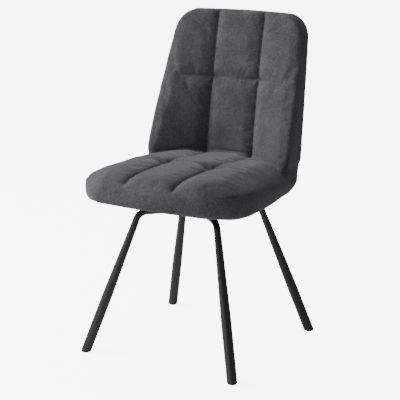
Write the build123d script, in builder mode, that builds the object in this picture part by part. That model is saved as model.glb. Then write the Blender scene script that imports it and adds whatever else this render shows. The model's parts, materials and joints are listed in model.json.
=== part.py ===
"""Upholstered dining chair on a four-legged steel swivel base.

Millimetres, +Z up, front of the chair towards -Y, left and right as seen from the front.
The origin lies on the floor, on the swivel axis, which is also the middle of the base.
"""

import os
from collections import namedtuple
from math import atan2, cos, radians, sqrt, tan

from build123d import *

# ---------------------------------------------------------------- driving dimensions

# Base
FOOT_REACH = 222.0  # foot centre from the swivel axis, along X and along Y
ELBOW_REACH = 116.0  # corner of the bent tube from the swivel axis, along X and along Y
ARM_HEIGHT = 374.0  # axis of the four level arms
ARM_RADIUS = 9.0
FOOT_RADIUS = 13.25
TUBE_WALL = 1.5
BEND_RADIUS = 28.0
TAPER_SHARE = 0.6  # part of the leg's length over which the tube widens
HUB_RADIUS = 25.0
HUB_WALL = 3.0
PLATE_SIDE = 150.0
PLATE_CORNER = 12.0
BASE_PLATE_THICKNESS = 4.0
GLIDE_LIP = 9.0  # height of the tube end's centre above the floor
GLIDE_PLUG = 20.0
GLIDE_EDGE = 4.0

# Swivel
SHEET = 2.5
DISH_RISE = 8.5
DISH_FOOT_RADIUS = 50.0
DISH_TOP_RADIUS = 40.0
DISH_GAP = 3.5
RACE_RADIUS = 30.0
BALL_RADIUS = 3.0
BALL_COUNT = 16
BALL_CLEARANCE = 0.03
CAGE_THICKNESS = 1.5
CAGE_WIDTH = 10.0
PIVOT_RADIUS = 6.0
PIVOT_CLEARANCE = 0.05
PIVOT_HEAD_RADIUS = 10.5
PIVOT_HEAD_HEIGHT = 4.5
PIVOT_HEAD_EDGE = 1.0
PIVOT_NUT_HEIGHT = 6.0
WASHER_THICKNESS = 1.4
WASHER_RADIUS = 13.0
FACE_CLEARANCE = 0.1
LOWER_BOLT_REACH = 60.0  # lower plate bolts, on the X and Y axes, clear of the arms
UPPER_BOLT_SPACING = 120.0  # upper plate bolts, square pattern

# Fasteners, M6 unless said
M6_RADIUS = 3.0
M6_CLEARANCE_HOLE = 3.3
M6_HEAD_RADIUS = 5.5
M6_HEAD_HEIGHT = 3.5
M6_NUT_ACROSS_FLATS = 10.0
M6_NUT_HEIGHT = 5.0
M6_TIP = 1.0  # thread that shows past a nut
M6_WASHER_RADIUS = 6.5
M6_WASHER_THICKNESS = 1.2
TEE_BARREL_RADIUS = 4.2
TEE_FLANGE_RADIUS = 9.0
TEE_FLANGE_THICKNESS = 1.5
THREAD_GAP = 0.05

# Seat
BOARD_THICKNESS = 12.0
BOARD_HALF_WIDTH = 188.0
BOARD_FRONT = -200.0
BOARD_REAR = 84.0
BOARD_CORNER = 75.0
SEAT_HALF_WIDTH = 240.0
SEAT_FRONT = -277.0
SEAT_FRONT_CORNER = -240.0  # where the front arc would meet the sides
SEAT_TAPER_START = -60.0
SEAT_REAR_HALF_WIDTH = 220.0
SEAT_CORNER_RADIUS = 88.0
FRONT_LIP_RISE = 20.0  # the lower front edge is this much above the underside
COVER_THICKNESS = 2.0

# Back
BACK_SHELL_RADIUS = 103.0  # the rounded turn from the underside to the rear
BACK_TOP_CORNER = 66.0
BACK_EDGE = 22.0
EDGE_SHARE = 0.4  # an edge's radius is at most this share of the thickness there
BACK_SHOULDER = 590.0  # the sides taper inwards above this height
PANEL_THICKNESS = 10.0
PANEL_INSET = 10.0
REAR_PAD = 8.0
PANEL_SIDE_INSET = 14.0
BRACKET_X = 88.0
BRACKET_WIDTH = 30.0
BRACKET_THICKNESS = 5.0
BRACKET_BEND = 38.0
BRACKET_FRONT = -20.0
BRACKET_KNEE = (169.0, 470.0)  # a point in Y and Z on the upright's centre line
BRACKET_TOP = (198.0, 620.0)
BOARD_SCREW_PLACES = (0.0, 50.0)
PANEL_SCREW_HEIGHTS = (525.0, 595.0)
SCREW_RADIUS = 2.4
SCREW_HEAD_RADIUS = 4.8
SCREW_HEAD_HEIGHT = 2.5
SCREW_BITE = 8.0
PANEL_GAP = 4.0  # between the flat bracket and the curved panel

# Cover panels
SIDE_SEAM = 206.0  # half distance between the side panels' seams
SIDE_SEAM_TOP = 180.0
REAR_SEAM_DEPTH = 26.0  # the rear cover's seam, in front of the rear surface
REAR_PANEL_START = 62.0  # the rear panel runs under the seat to here
HEM = 8.0
DUST_COVER_THICKNESS = 1.0
SWIVEL_CUTOUT = 158.0

STAPLE_WIRE = 0.8
STAPLE_CROWN = 10.0
STAPLE_SPACING = 30.0
STAPLE_INSET = 4.0

FAR = 600.0  # reaches past the whole chair

# ---------------------------------------------------------------- worked-out heights

BASE_PLATE_BOTTOM = ARM_HEIGHT + ARM_RADIUS
BASE_PLATE_TOP = BASE_PLATE_BOTTOM + BASE_PLATE_THICKNESS
LOWER_DISH_TOP = BASE_PLATE_TOP + SHEET + DISH_RISE
UPPER_DISH_BOTTOM = LOWER_DISH_TOP + DISH_GAP
BALL_HEIGHT = LOWER_DISH_TOP + DISH_GAP / 2
BOARD_BOTTOM = UPPER_DISH_BOTTOM + SHEET + DISH_RISE
BOARD_TOP = BOARD_BOTTOM + BOARD_THICKNESS
UNDERSIDE = BOARD_BOTTOM - COVER_THICKNESS
SHELL_TURN_HEIGHT = UNDERSIDE + BACK_SHELL_RADIUS

# Heights and pull-ins of the seat cushion's plan outline, from the underside to the crown
SEAT_STATIONS = [
    (UNDERSIDE, 24.0),
    (420.0, 9.0),
    (434.0, 1.0),
    (452.0, 0.0),
    (468.0, 5.0),
    (481.0, 20.0),
    (490.0, 42.0),
    (497.0, 70.0),
    (501.0, 105.0),
]
SEAT_MIDDLE = 452.0
SEAT_EDGE_PULL = 24.0  # stations pulled in further than this are the crown
REAR_STEP = 3.0  # the seat block stops this far inside the back's rear surface

BackStation = namedtuple(
    "BackStation", "height half_width front_middle front_side rear_side rear_middle"
)
BACK_STATIONS = [
    BackStation(446.0, 220.0, 153.0, 60.0, 168.0, 214.0),
    BackStation(470.0, 220.0, 154.0, 64.0, 168.0, 214.0),
    BackStation(514.0, 220.0, 159.0, 73.0, 168.0, 215.0),
    BackStation(593.0, 218.0, 171.0, 98.0, 183.0, 228.0),
    BackStation(690.0, 210.0, 186.0, 134.0, 209.0, 244.0),
    BackStation(790.0, 201.0, 204.0, 172.0, 236.0, 261.0),
    BackStation(852.0, 194.0, 217.0, 196.0, 255.0, 277.0),
    BackStation(866.0, 192.0, 224.0, 206.0, 253.0, 275.0),
    BackStation(875.0, 185.0, 234.0, 220.0, 243.0, 264.0),
]
LOW_BACK = BACK_STATIONS[0]
CROWN_BACK = BACK_STATIONS[-3]
TOP_BACK = BACK_STATIONS[-1]
PANEL_STATIONS = BACK_STATIONS[1:7]

# ---------------------------------------------------------------- base

elbow_r = ELBOW_REACH * sqrt(2.0)
foot_r = FOOT_REACH * sqrt(2.0)
leg_length = sqrt((foot_r - elbow_r) ** 2 + ARM_HEIGHT**2)
leg_dir = Vector((foot_r - elbow_r) / leg_length, 0, -ARM_HEIGHT / leg_length)
leg_lean = atan2(foot_r - elbow_r, ARM_HEIGHT)
bend_turn = radians(90) - leg_lean
bend_trim = BEND_RADIUS * tan(bend_turn / 2)
elbow = Vector(elbow_r, 0, ARM_HEIGHT)
bend_end = elbow + leg_dir * bend_trim
tube_end = leg_length - GLIDE_LIP / cos(leg_lean)

LEG_ANGLES = {"front_left": 225, "front_right": 315, "rear_right": 45, "rear_left": 135}


def ring_profile(inner, outer):
    """Two concentric circles, the section of a round tube."""
    Circle(outer)
    Circle(inner, mode=Mode.SUBTRACT)


# One bent tube in the XZ plane: a level arm, a tight bend, a leg that widens to the foot
with BuildPart() as leg_tube:
    with BuildLine(Plane.XZ) as arm_path:
        arm_line = Line((HUB_RADIUS / 2, ARM_HEIGHT), (elbow_r - bend_trim, ARM_HEIGHT))
        TangentArc(arm_line @ 1, (bend_end.X, bend_end.Z), tangent=(1, 0))
    with BuildSketch(Plane.YZ.offset(HUB_RADIUS / 2)):
        with Locations((0, ARM_HEIGHT)):
            ring_profile(ARM_RADIUS - TUBE_WALL, ARM_RADIUS)
    sweep(path=arm_path.wire())
    with BuildSketch(Plane(origin=elbow, x_dir=leg_dir, z_dir=(0, 1, 0))):
        with BuildLine():
            taper_end = leg_length * TAPER_SHARE
            Polyline(
                (bend_trim, ARM_RADIUS),
                (taper_end, FOOT_RADIUS),
                (tube_end, FOOT_RADIUS),
                (tube_end, FOOT_RADIUS - TUBE_WALL),
                (taper_end, FOOT_RADIUS - TUBE_WALL),
                (bend_trim, ARM_RADIUS - TUBE_WALL),
                close=True,
            )
        make_face()
    revolve(axis=Axis(elbow, leg_dir))
    with Locations((0, 0, ARM_HEIGHT)):
        Cylinder(HUB_RADIUS, 4 * ARM_RADIUS, mode=Mode.SUBTRACT)

# A nylon foot: a plug inside the tube and a sole that stands flat on the floor
with BuildPart() as glide_body:
    tube_mouth = Plane(origin=elbow + leg_dir * tube_end, x_dir=(0, 1, 0), z_dir=leg_dir)
    with BuildSketch(tube_mouth):
        Circle(FOOT_RADIUS)
    extrude(amount=2 * GLIDE_LIP + FOOT_RADIUS)
    split(bisect_by=Plane.XY)
    fillet(glide_body.faces().sort_by(Axis.Z)[0].edges(), GLIDE_EDGE)
    with BuildSketch(tube_mouth):
        Circle(FOOT_RADIUS - TUBE_WALL)
    extrude(amount=-GLIDE_PLUG)

with BuildPart() as hub:
    with BuildSketch(Plane.XY.offset(ARM_HEIGHT - ARM_RADIUS)):
        ring_profile(HUB_RADIUS - HUB_WALL, HUB_RADIUS)
    extrude(amount=2 * ARM_RADIUS)


def lower_bolt_spots():
    """The four bolts between the base plate and the lower swivel plate."""
    return PolarLocations(LOWER_BOLT_REACH, 4)


def upper_bolt_spots():
    """The four bolts that hold the seat board on the upper swivel plate."""
    return GridLocations(UPPER_BOLT_SPACING, UPPER_BOLT_SPACING, 2, 2)


with BuildPart() as base_plate:
    with BuildSketch(Plane.XY.offset(BASE_PLATE_BOTTOM)):
        RectangleRounded(PLATE_SIDE, PLATE_SIDE, PLATE_CORNER)
        Circle(HUB_RADIUS - HUB_WALL, mode=Mode.SUBTRACT)
        with lower_bolt_spots():
            Circle(M6_CLEARANCE_HOLE, mode=Mode.SUBTRACT)
    extrude(amount=BASE_PLATE_THICKNESS)

# ---------------------------------------------------------------- swivel


def pressed_plate(flange_face, rise, bore, bolt_spots):
    """A square sheet with a pressed dish. rise is +1 for a dish upwards, -1 downwards."""
    with BuildPart() as plate:
        with BuildSketch(Plane.XY.offset(flange_face)):
            RectangleRounded(PLATE_SIDE, PLATE_SIDE, PLATE_CORNER)
            Circle(DISH_FOOT_RADIUS, mode=Mode.SUBTRACT)
            with bolt_spots:
                Circle(M6_CLEARANCE_HOLE, mode=Mode.SUBTRACT)
        extrude(amount=rise * SHEET)
        with BuildSketch(Plane.XZ):
            with BuildLine():
                sheet_face = flange_face + rise * SHEET
                dish_top = sheet_face + rise * DISH_RISE
                Polyline(
                    (DISH_FOOT_RADIUS + SHEET, flange_face),
                    (DISH_FOOT_RADIUS + SHEET, sheet_face),
                    (DISH_FOOT_RADIUS - SHEET, sheet_face),
                    (DISH_TOP_RADIUS, dish_top),
                    (bore, dish_top),
                    (bore, dish_top - rise * SHEET),
                    (DISH_TOP_RADIUS - SHEET / 2, dish_top - rise * SHEET),
                    (DISH_FOOT_RADIUS - 2 * SHEET, flange_face),
                    close=True,
                )
            make_face()
        revolve(axis=Axis.Z)
        with BuildSketch(Plane.XZ):
            with Locations((RACE_RADIUS, BALL_HEIGHT)):
                Circle(BALL_RADIUS + BALL_CLEARANCE)
        revolve(axis=Axis.Z, mode=Mode.SUBTRACT)
    return plate.part


lower_plate = pressed_plate(BASE_PLATE_TOP, 1, PIVOT_RADIUS, lower_bolt_spots())
upper_plate = pressed_plate(
    BOARD_BOTTOM, -1, PIVOT_RADIUS + PIVOT_CLEARANCE, upper_bolt_spots()
)

with BuildPart() as balls:
    with Locations((0, 0, BALL_HEIGHT)):
        with PolarLocations(RACE_RADIUS, BALL_COUNT):
            Sphere(BALL_RADIUS)

with BuildPart() as cage:
    with BuildSketch(Plane.XY.offset(BALL_HEIGHT - CAGE_THICKNESS / 2)):
        ring_profile(RACE_RADIUS - CAGE_WIDTH / 2, RACE_RADIUS + CAGE_WIDTH / 2)
        with PolarLocations(RACE_RADIUS, BALL_COUNT):
            Circle(BALL_RADIUS + 2 * PIVOT_CLEARANCE, mode=Mode.SUBTRACT)
    extrude(amount=CAGE_THICKNESS)

# The pivot: a low-headed bolt, a nylon washer under its head and a nut under the lower dish
upper_dish_floor = UPPER_DISH_BOTTOM + SHEET
head_bottom = upper_dish_floor + FACE_CLEARANCE + WASHER_THICKNESS
lower_dish_roof = LOWER_DISH_TOP - SHEET

with BuildPart() as pivot_bolt:
    with BuildSketch(Plane.XY.offset(lower_dish_roof - PIVOT_NUT_HEIGHT)):
        Circle(PIVOT_RADIUS)
    extrude(amount=head_bottom - lower_dish_roof + PIVOT_NUT_HEIGHT)
    with BuildSketch(Plane.XY.offset(head_bottom)):
        Circle(PIVOT_HEAD_RADIUS)
    extrude(amount=PIVOT_HEAD_HEIGHT)
    fillet(pivot_bolt.faces().sort_by(Axis.Z)[-1].edges(), PIVOT_HEAD_EDGE)

with BuildPart() as pivot_washer:
    with BuildSketch(Plane.XY.offset(upper_dish_floor + FACE_CLEARANCE)):
        ring_profile(PIVOT_RADIUS, WASHER_RADIUS)
    extrude(amount=WASHER_THICKNESS)

with BuildPart() as pivot_nut:
    with BuildSketch(Plane.XY.offset(lower_dish_roof - PIVOT_NUT_HEIGHT)):
        RegularPolygon(PIVOT_HEAD_RADIUS, 6)
        Circle(PIVOT_RADIUS, mode=Mode.SUBTRACT)
    extrude(amount=PIVOT_NUT_HEIGHT)

plate_grip = BASE_PLATE_THICKNESS + SHEET
with BuildPart() as lower_bolts:
    with BuildSketch(Plane.XY.offset(BASE_PLATE_TOP + SHEET)):
        with lower_bolt_spots():
            Circle(M6_HEAD_RADIUS)
    extrude(amount=M6_HEAD_HEIGHT)
    with BuildSketch(Plane.XY.offset(BASE_PLATE_TOP + SHEET)):
        with lower_bolt_spots():
            Circle(M6_RADIUS)
    extrude(amount=-(plate_grip + M6_NUT_HEIGHT + M6_TIP))

with BuildPart() as lower_nuts:
    with BuildSketch(Plane.XY.offset(BASE_PLATE_BOTTOM)):
        with lower_bolt_spots():
            RegularPolygon(M6_NUT_ACROSS_FLATS / 2, 6, major_radius=False)
            Circle(M6_RADIUS + THREAD_GAP, mode=Mode.SUBTRACT)
    extrude(amount=-M6_NUT_HEIGHT)

# ---------------------------------------------------------------- seat hardware

flange_bottom = BOARD_BOTTOM - SHEET
with BuildPart() as seat_washers:
    with BuildSketch(Plane.XY.offset(flange_bottom)):
        with upper_bolt_spots():
            Circle(M6_WASHER_RADIUS)
            Circle(M6_CLEARANCE_HOLE, mode=Mode.SUBTRACT)
    extrude(amount=-M6_WASHER_THICKNESS)

with BuildPart() as seat_bolts:
    with BuildSketch(Plane.XY.offset(flange_bottom - M6_WASHER_THICKNESS)):
        with upper_bolt_spots():
            Circle(M6_HEAD_RADIUS)
    extrude(amount=-M6_HEAD_HEIGHT)
    with BuildSketch(Plane.XY.offset(flange_bottom - M6_WASHER_THICKNESS)):
        with upper_bolt_spots():
            Circle(M6_RADIUS)
    extrude(amount=SHEET + M6_WASHER_THICKNESS + BOARD_THICKNESS)

with BuildPart() as tee_nuts:
    with BuildSketch(Plane.XY.offset(BOARD_BOTTOM)):
        with upper_bolt_spots():
            Circle(TEE_BARREL_RADIUS)
    extrude(amount=BOARD_THICKNESS)
    with BuildSketch(Plane.XY.offset(BOARD_TOP)):
        with upper_bolt_spots():
            Circle(TEE_FLANGE_RADIUS)
    extrude(amount=TEE_FLANGE_THICKNESS)
    with BuildSketch(Plane.XY.offset(BOARD_BOTTOM)):
        with upper_bolt_spots():
            Circle(M6_RADIUS + THREAD_GAP)
    extrude(amount=BOARD_THICKNESS + TEE_FLANGE_THICKNESS, mode=Mode.SUBTRACT)

# ---------------------------------------------------------------- upholstery envelopes


def shell_turn(height):
    """How far the rounded rear lower corner pulls the rear surface in at a height."""
    drop = max(SHELL_TURN_HEIGHT - height, 0)
    return BACK_SHELL_RADIUS - sqrt(BACK_SHELL_RADIUS**2 - min(drop, BACK_SHELL_RADIUS) ** 2)


def seat_block(grow=0.0):
    """The seat cushion's outer form, offset outwards by grow."""
    with BuildPart() as block:
        for height, pull_in in SEAT_STATIONS:
            level = height + grow if height > SEAT_MIDDLE else height - grow
            inset = pull_in - grow
            half = SEAT_HALF_WIDTH - inset
            rear_half = SEAT_REAR_HALF_WIDTH - inset
            turn = shell_turn(height) + REAR_STEP - grow + max(pull_in - SEAT_EDGE_PULL, 0)
            rear_side = LOW_BACK.rear_side - turn
            rear_middle = LOW_BACK.rear_middle - turn
            with BuildSketch(Plane.XY.offset(level)):
                with BuildLine():
                    front = ThreePointArc(
                        (-half, SEAT_FRONT_CORNER + inset),
                        (0, SEAT_FRONT + inset),
                        (half, SEAT_FRONT_CORNER + inset),
                    )
                    Polyline(front @ 1, (half, SEAT_TAPER_START), (rear_half, rear_side))
                    ThreePointArc((rear_half, rear_side), (0, rear_middle), (-rear_half, rear_side))
                    Polyline((-rear_half, rear_side), (-half, SEAT_TAPER_START), front @ 0)
                outline = make_face()
                corner = max(SEAT_CORNER_RADIUS - inset, BACK_EDGE)
                fillet(outline.vertices().group_by(Axis.Y)[0], corner)
        loft(ruled=True)
        # The underside rises from the board's front edge to the lower front edge
        with BuildSketch(Plane.YZ):
            with BuildLine():
                Polyline(
                    (BOARD_FRONT - COVER_THICKNESS, UNDERSIDE - grow),
                    (SEAT_FRONT - COVER_THICKNESS, UNDERSIDE + FRONT_LIP_RISE - grow),
                    (SEAT_FRONT - COVER_THICKNESS, UNDERSIDE - BACK_EDGE),
                    (BOARD_FRONT - COVER_THICKNESS, UNDERSIDE - BACK_EDGE),
                    close=True,
                )
            make_face()
        extrude(amount=2 * SEAT_HALF_WIDTH, both=True, mode=Mode.SUBTRACT)
    return block.part


def back_section(station, grow, level):
    """One crescent of the back in plan, offset outwards by grow."""
    turn = shell_turn(station.height)
    width = station.half_width + grow
    near = station.front_side - grow
    far = station.rear_side - turn + grow
    with BuildSketch(Plane.XY.offset(level)) as section:
        with BuildLine():
            ThreePointArc((-width, near), (0, station.front_middle - grow), (width, near))
            Line((width, near), (width, far))
            ThreePointArc((width, far), (0, station.rear_middle - turn + grow), (-width, far))
            Line((-width, far), (-width, near))
        outline = make_face()
        fillet(outline.vertices(), min(BACK_EDGE, EDGE_SHARE * (far - near)))
    return section.sketch


def front_view(grow):
    """The back's outline seen from the front, open below, with rounded top corners."""
    top = TOP_BACK.height + grow
    top_half = CROWN_BACK.half_width + grow
    low_half = LOW_BACK.half_width + grow
    with BuildSketch(Plane.XZ) as view:
        with BuildLine():
            Polyline(
                (-low_half, BACK_SHOULDER),
                (-top_half, top),
                (top_half, top),
                (low_half, BACK_SHOULDER),
                (low_half, UNDERSIDE),
                (-low_half, UNDERSIDE),
                close=True,
            )
        outline = make_face()
        fillet(outline.vertices().group_by(Axis.Z)[-1], BACK_TOP_CORNER + grow)
    return view.sketch


def back_block(grow=0.0):
    """The back cushion's outer form, offset outwards by grow, top corners rounded."""
    top = TOP_BACK.height + grow
    with BuildPart() as block:
        sections = [
            back_section(station, grow, min(station.height, top))
            for station in BACK_STATIONS[:-1]
        ]
        sections.append(back_section(TOP_BACK, grow, top))
        loft(sections=sections, ruled=True)
        extrude(front_view(grow), amount=FAR, both=True, mode=Mode.INTERSECT)
    return block.part


# ---------------------------------------------------------------- board, panel, brackets


def board_outline(pull_in):
    """The seat board's plan outline, pulled in from its edge."""
    with BuildSketch() as outline:
        with Locations((0, (BOARD_FRONT + BOARD_REAR) / 2)):
            RectangleRounded(
                2 * (BOARD_HALF_WIDTH - pull_in),
                BOARD_REAR - BOARD_FRONT - 2 * pull_in,
                BOARD_CORNER - pull_in,
            )
    return outline.sketch


def layer_section(station, front_cut, rear_cut, side_inset, level):
    """A strip of the back in plan between two depths in front of the rear surface."""
    turn = shell_turn(station.height)
    width = station.half_width - side_inset
    side, middle = station.rear_side - turn, station.rear_middle - turn
    with BuildSketch(Plane.XY.offset(level)) as section:
        with BuildLine():
            front = ThreePointArc(
                (-width, side - front_cut), (0, middle - front_cut), (width, side - front_cut)
            )
            rear = ThreePointArc(
                (width, side - rear_cut), (0, middle - rear_cut), (-width, side - rear_cut)
            )
            Line(front @ 1, rear @ 0)
            Line(rear @ 1, front @ 0)
        make_face()
    return section.sketch


def panel_layer(front_cut, rear_cut):
    """A curved layer of the back, as wide and high as the plywood panel."""
    with BuildPart() as layer:
        sections = [
            layer_section(station, front_cut, rear_cut, PANEL_SIDE_INSET, station.height)
            for station in PANEL_STATIONS
        ]
        loft(sections=sections, ruled=True)
        extrude(front_view(-PANEL_SIDE_INSET), amount=FAR, both=True, mode=Mode.INTERSECT)
    return layer.part


upright = Vector(0, *BRACKET_TOP) - Vector(0, *BRACKET_KNEE)
upright_dir = upright.normalized()
bracket_floor = BOARD_TOP + BRACKET_THICKNESS / 2
corner_y = BRACKET_KNEE[0] + (bracket_floor - BRACKET_KNEE[1]) * upright.Y / upright.Z


def board_screw_spots():
    """Where the brackets are screwed to the seat board."""
    return Locations([(side * BRACKET_X, y) for side in (-1, 1) for y in BOARD_SCREW_PLACES])


def panel_screw_planes():
    """Planes on the front face of each bracket's upright, facing forwards."""
    planes = []
    for side in (-1, 1):
        for height in PANEL_SCREW_HEIGHTS:
            reach = (height - BRACKET_KNEE[1]) * upright.Y / upright.Z
            axis = upright_dir.cross(Vector(1, 0, 0)) * -1
            spot = Vector(side * BRACKET_X, BRACKET_KNEE[0] + reach, height)
            planes.append(Plane(spot + axis * (BRACKET_THICKNESS / 2), z_dir=axis))
    return planes


def bracket_at(side):
    """A flat steel bar bent to an L, from the seat board up to the back panel."""
    with BuildPart() as bracket:
        with BuildLine(Plane.YZ.offset(side * BRACKET_X)) as bar:
            FilletPolyline(
                (BRACKET_FRONT, bracket_floor),
                (corner_y, bracket_floor),
                BRACKET_TOP,
                radius=BRACKET_BEND,
            )
        with BuildSketch(Plane.XZ.offset(-BRACKET_FRONT)):
            with Locations((side * BRACKET_X, bracket_floor)):
                Rectangle(BRACKET_WIDTH, BRACKET_THICKNESS)
        sweep(path=bar.wire())
        with BuildSketch(Plane.XY.offset(BOARD_TOP)):
            with board_screw_spots():
                Circle(SCREW_RADIUS)
        extrude(amount=BRACKET_THICKNESS, mode=Mode.SUBTRACT)
        for plane in panel_screw_planes():
            with BuildSketch(plane):
                Circle(SCREW_RADIUS)
            extrude(amount=-BRACKET_THICKNESS, mode=Mode.SUBTRACT)
    return bracket.part


brackets = {"left": bracket_at(-1), "right": bracket_at(1)}

with BuildPart() as bracket_screws:
    with BuildSketch(Plane.XY.offset(BOARD_TOP + BRACKET_THICKNESS)):
        with board_screw_spots():
            Circle(SCREW_HEAD_RADIUS)
    extrude(amount=SCREW_HEAD_HEIGHT)
    with BuildSketch(Plane.XY.offset(BOARD_TOP + BRACKET_THICKNESS)):
        with board_screw_spots():
            Circle(SCREW_RADIUS)
    extrude(amount=-(BRACKET_THICKNESS + SCREW_BITE))
    for plane in panel_screw_planes():
        with BuildSketch(plane):
            Circle(SCREW_HEAD_RADIUS)
        extrude(amount=SCREW_HEAD_HEIGHT)
        with BuildSketch(plane):
            Circle(SCREW_RADIUS)
        extrude(amount=-(BRACKET_THICKNESS + PANEL_GAP + SCREW_BITE))

with BuildPart() as seat_board:
    extrude(Plane.XY.offset(BOARD_BOTTOM) * board_outline(0), amount=BOARD_THICKNESS)
    with BuildSketch(Plane.XY.offset(BOARD_BOTTOM)):
        with upper_bolt_spots():
            Circle(TEE_BARREL_RADIUS)
    extrude(amount=BOARD_THICKNESS, mode=Mode.SUBTRACT)
    add(bracket_screws.part, mode=Mode.SUBTRACT)

with BuildPart() as back_panel:
    add(panel_layer(PANEL_INSET + PANEL_THICKNESS, PANEL_INSET))
    add(bracket_screws.part, mode=Mode.SUBTRACT)

# ---------------------------------------------------------------- foam

seat_outer = seat_block()
seat_inner = seat_block(-COVER_THICKNESS)
back_outer = back_block()
back_inner = back_block(-COVER_THICKNESS)

with BuildPart() as seat_foam:
    add(seat_inner)
    extrude(
        Plane.XY.offset(BOARD_BOTTOM) * board_outline(0),
        amount=BOARD_THICKNESS,
        mode=Mode.SUBTRACT,
    )
    for taken in (
        back_outer,
        tee_nuts.part,
        bracket_screws.part,
        *brackets.values(),
    ):
        add(taken, mode=Mode.SUBTRACT)

with BuildPart() as back_foam:
    add(back_inner)
    for taken in (
        panel_layer(PANEL_INSET + PANEL_THICKNESS, -BACK_EDGE),
        bracket_screws.part,
        *brackets.values(),
    ):
        add(taken, mode=Mode.SUBTRACT)

with BuildPart() as rear_pad:
    add(panel_layer(PANEL_INSET, -BACK_EDGE))
    add(back_inner, mode=Mode.INTERSECT)

# ---------------------------------------------------------------- covers


def seam_prism():
    """Everything between the two side seams, from the front to the rear."""
    low, high = UNDERSIDE - BACK_EDGE, TOP_BACK.height + BACK_EDGE
    with BuildPart() as prism:
        with BuildSketch(Plane.XZ):
            with BuildLine():
                edge = Polyline(
                    (SIDE_SEAM, low),
                    (SIDE_SEAM, BACK_SHOULDER),
                    (SIDE_SEAM_TOP, high),
                )
                mirror(edge, about=Plane.YZ)
                Line((SIDE_SEAM_TOP, high), (-SIDE_SEAM_TOP, high))
                Line((SIDE_SEAM, low), (-SIDE_SEAM, low))
            make_face()
        extrude(amount=FAR, both=True)
    return prism.part


def front_divider():
    """Everything in front of the seam that joins the inner back cover to the rear cover."""
    low, high = LOW_BACK, TOP_BACK
    with BuildPart() as divider:
        sections = [
            layer_section(station, FAR, REAR_SEAM_DEPTH, -BACK_EDGE, station.height)
            for station in BACK_STATIONS[1:-1]
        ]
        below = layer_section(low, FAR, REAR_SEAM_DEPTH, -BACK_EDGE, low.height - BACK_EDGE)
        above = layer_section(high, FAR, REAR_SEAM_DEPTH, -BACK_EDGE, high.height + BACK_EDGE)
        loft(sections=[below, *sections, above], ruled=True)
    return divider.part


between_seams = seam_prism()
before_seam = front_divider()

with BuildPart() as seat_skin:
    add(seat_outer)
    for taken in (seat_inner, back_outer):
        add(taken, mode=Mode.SUBTRACT)
    extrude(
        Plane.XY.offset(UNDERSIDE - FACE_CLEARANCE) * board_outline(HEM),
        amount=2 * COVER_THICKNESS,
        mode=Mode.SUBTRACT,
    )

with BuildPart() as back_skin:
    add(back_outer)
    for taken in (back_inner, seat_inner):
        add(taken, mode=Mode.SUBTRACT)

# The part of the skin under and behind the seat, which belongs to the rear cover
with BuildPart() as rear_corner:
    with Locations((0, REAR_PANEL_START, UNDERSIDE - COVER_THICKNESS)):
        Box(
            2 * SEAT_HALF_WIDTH,
            FAR,
            LOW_BACK.height - UNDERSIDE + 2 * COVER_THICKNESS,
            align=(Align.CENTER, Align.MIN, Align.MIN),
        )

with BuildPart() as seat_cover:
    add(seat_skin.part)
    add(between_seams, mode=Mode.INTERSECT)
    add(rear_corner.part, mode=Mode.SUBTRACT)

with BuildPart() as back_cover:
    add(back_skin.part)
    add(between_seams, mode=Mode.INTERSECT)
    add(before_seam, mode=Mode.INTERSECT)
    add(rear_corner.part, mode=Mode.SUBTRACT)

with BuildPart() as rear_cover:
    add(seat_skin.part)
    add(rear_corner.part, mode=Mode.INTERSECT)
    add(back_skin.part)
    add(between_seams, mode=Mode.INTERSECT)
    add(before_seam - rear_corner.part, mode=Mode.SUBTRACT)


def side_cover_at(keep):
    """The side panel: one L-shaped strip along the seat and up the back."""
    with BuildPart() as cover:
        add(seat_skin.part)
        add(back_skin.part)
        add(between_seams, mode=Mode.SUBTRACT)
        split(bisect_by=Plane.YZ, keep=keep)
    return cover.part


side_covers = {"left": side_cover_at(Keep.BOTTOM), "right": side_cover_at(Keep.TOP)}

with BuildPart() as dust_cover:
    extrude(
        Plane.XY.offset(UNDERSIDE - DUST_COVER_THICKNESS) * board_outline(DUST_COVER_THICKNESS),
        amount=DUST_COVER_THICKNESS,
    )
    with Locations((0, 0, UNDERSIDE)):
        Box(SWIVEL_CUTOUT, SWIVEL_CUTOUT, BACK_EDGE, mode=Mode.SUBTRACT)

staple_line = board_outline(STAPLE_INSET).wire()
staple_count = round(staple_line.length / STAPLE_SPACING)
staple_level = UNDERSIDE - DUST_COVER_THICKNESS - STAPLE_WIRE / 2
with BuildPart() as staples:
    for index in range(staple_count):
        spot = staple_line.location_at(index / staple_count)
        with Locations(Pos(0, 0, staple_level) * spot):
            Box(STAPLE_WIRE, STAPLE_WIRE, STAPLE_CROWN)

# ---------------------------------------------------------------- write the pieces

pieces = {
    "hub_tube": hub.part,
    "base_plate": base_plate.part,
    "swivel_lower_plate": lower_plate,
    "swivel_upper_plate": upper_plate,
    "bearing_balls": balls.part,
    "ball_cage": cage.part,
    "pivot_bolt": pivot_bolt.part,
    "pivot_washer": pivot_washer.part,
    "pivot_nut": pivot_nut.part,
    "base_bolts": lower_bolts.part,
    "base_nuts": lower_nuts.part,
    "seat_bolts": seat_bolts.part,
    "seat_bolt_washers": seat_washers.part,
    "tee_nuts": tee_nuts.part,
    "seat_board": seat_board.part,
    "back_panel": back_panel.part,
    "bracket_screws": bracket_screws.part,
    "seat_foam": seat_foam.part,
    "back_foam": back_foam.part,
    "rear_pad": rear_pad.part,
    "seat_cover": seat_cover.part,
    "back_cover": back_cover.part,
    "rear_cover": rear_cover.part,
    "dust_cover": dust_cover.part,
    "cover_staples": staples.part,
}
for place, angle in LEG_ANGLES.items():
    pieces[f"leg_{place}"] = leg_tube.part.rotate(Axis.Z, angle)
    pieces[f"glide_{place}"] = glide_body.part.rotate(Axis.Z, angle)
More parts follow.
